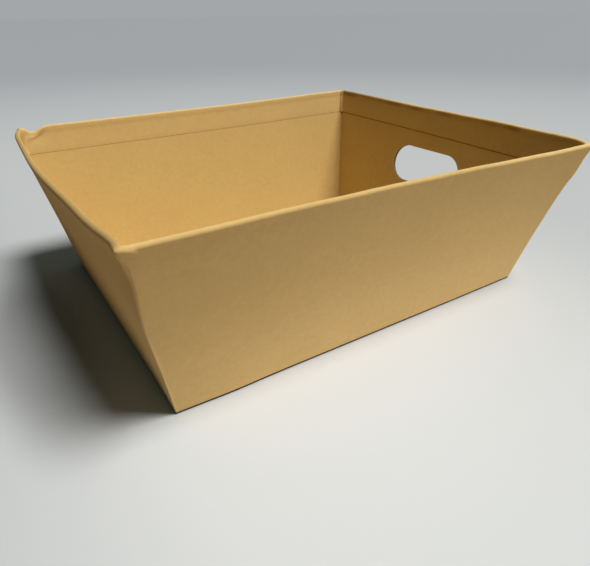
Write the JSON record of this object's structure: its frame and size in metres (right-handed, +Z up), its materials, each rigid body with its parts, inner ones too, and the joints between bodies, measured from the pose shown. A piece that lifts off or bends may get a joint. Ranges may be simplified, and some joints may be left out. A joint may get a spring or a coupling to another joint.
{
  "type": "gift basket",
  "caption": "Open tapered gift basket of paper-covered board, with a rolled rim, a turned-in band inside and an oblong hand hole in one end wall.",
  "frame": {"origin": "middle of the underside, on the surface that the basket stands on", "axes": "+X along the length towards the end wall with the hand hole, +Y along the width towards the back wall, +Z up out of the open top"},
  "size_m": [0.3368, 0.2856, 0.115],
  "materials": {
    "board": "matt, ochre faced board",
    "cover_paper": "matt, finely fibrous ochre paper"
  },
  "bodies": {
    "root": {"tray_board": "board", "cover_paper": "cover_paper"}
  },
  "joints": []
}
